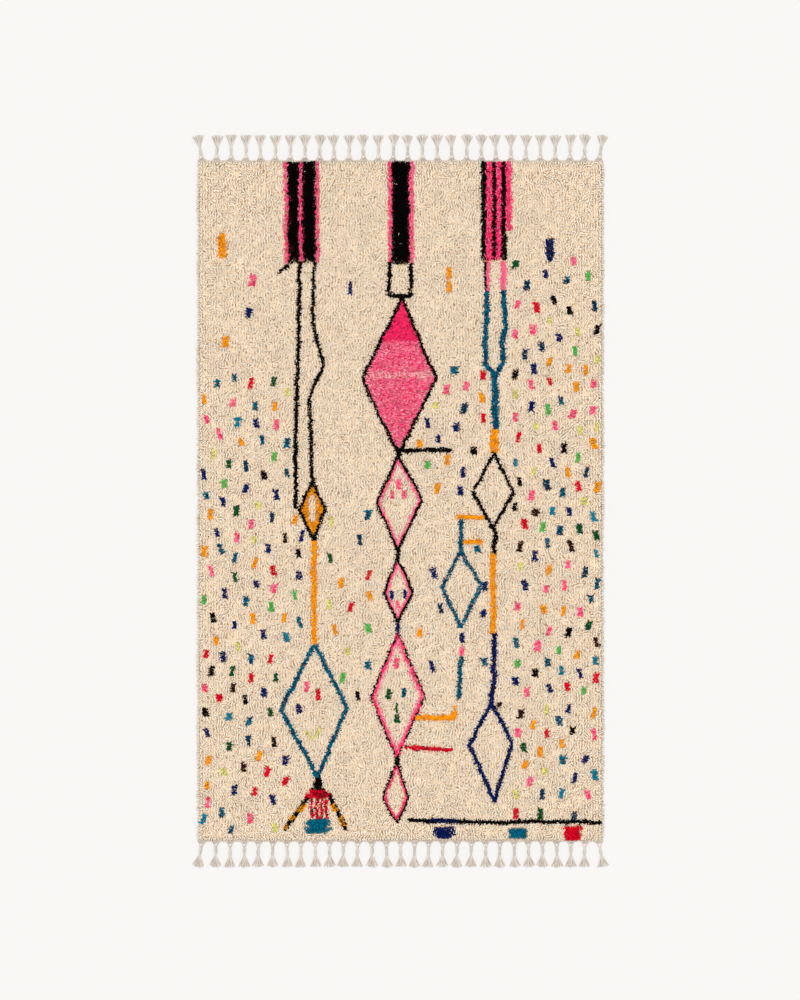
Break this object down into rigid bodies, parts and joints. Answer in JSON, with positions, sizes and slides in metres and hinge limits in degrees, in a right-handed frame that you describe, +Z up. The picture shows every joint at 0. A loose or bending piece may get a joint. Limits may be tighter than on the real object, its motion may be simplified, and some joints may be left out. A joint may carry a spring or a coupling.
{
  "type": "azilal rug",
  "caption": "Rectangular shaggy wool rug lying flat, with a knotted tassel fringe along both short ends and a dyed pattern of bars, lozenge chains and scattered dashes.",
  "frame": {"origin": "middle of the rug's underside, on the floor", "axes": "+X across the rug, +Y along it, +Z up through the pile"},
  "size_m": [1.5278, 2.6956, 0.02],
  "materials": {
    "pile_wool": "undyed ivory wool pile with motifs in dyed wool, matt",
    "fringe_cotton": "undyed cotton warp, matt"
  },
  "bodies": {
    "root": {"pile_field": "pile_wool", "fringe_top": "fringe_cotton", "fringe_bottom": "fringe_cotton"}
  },
  "joints": []
}
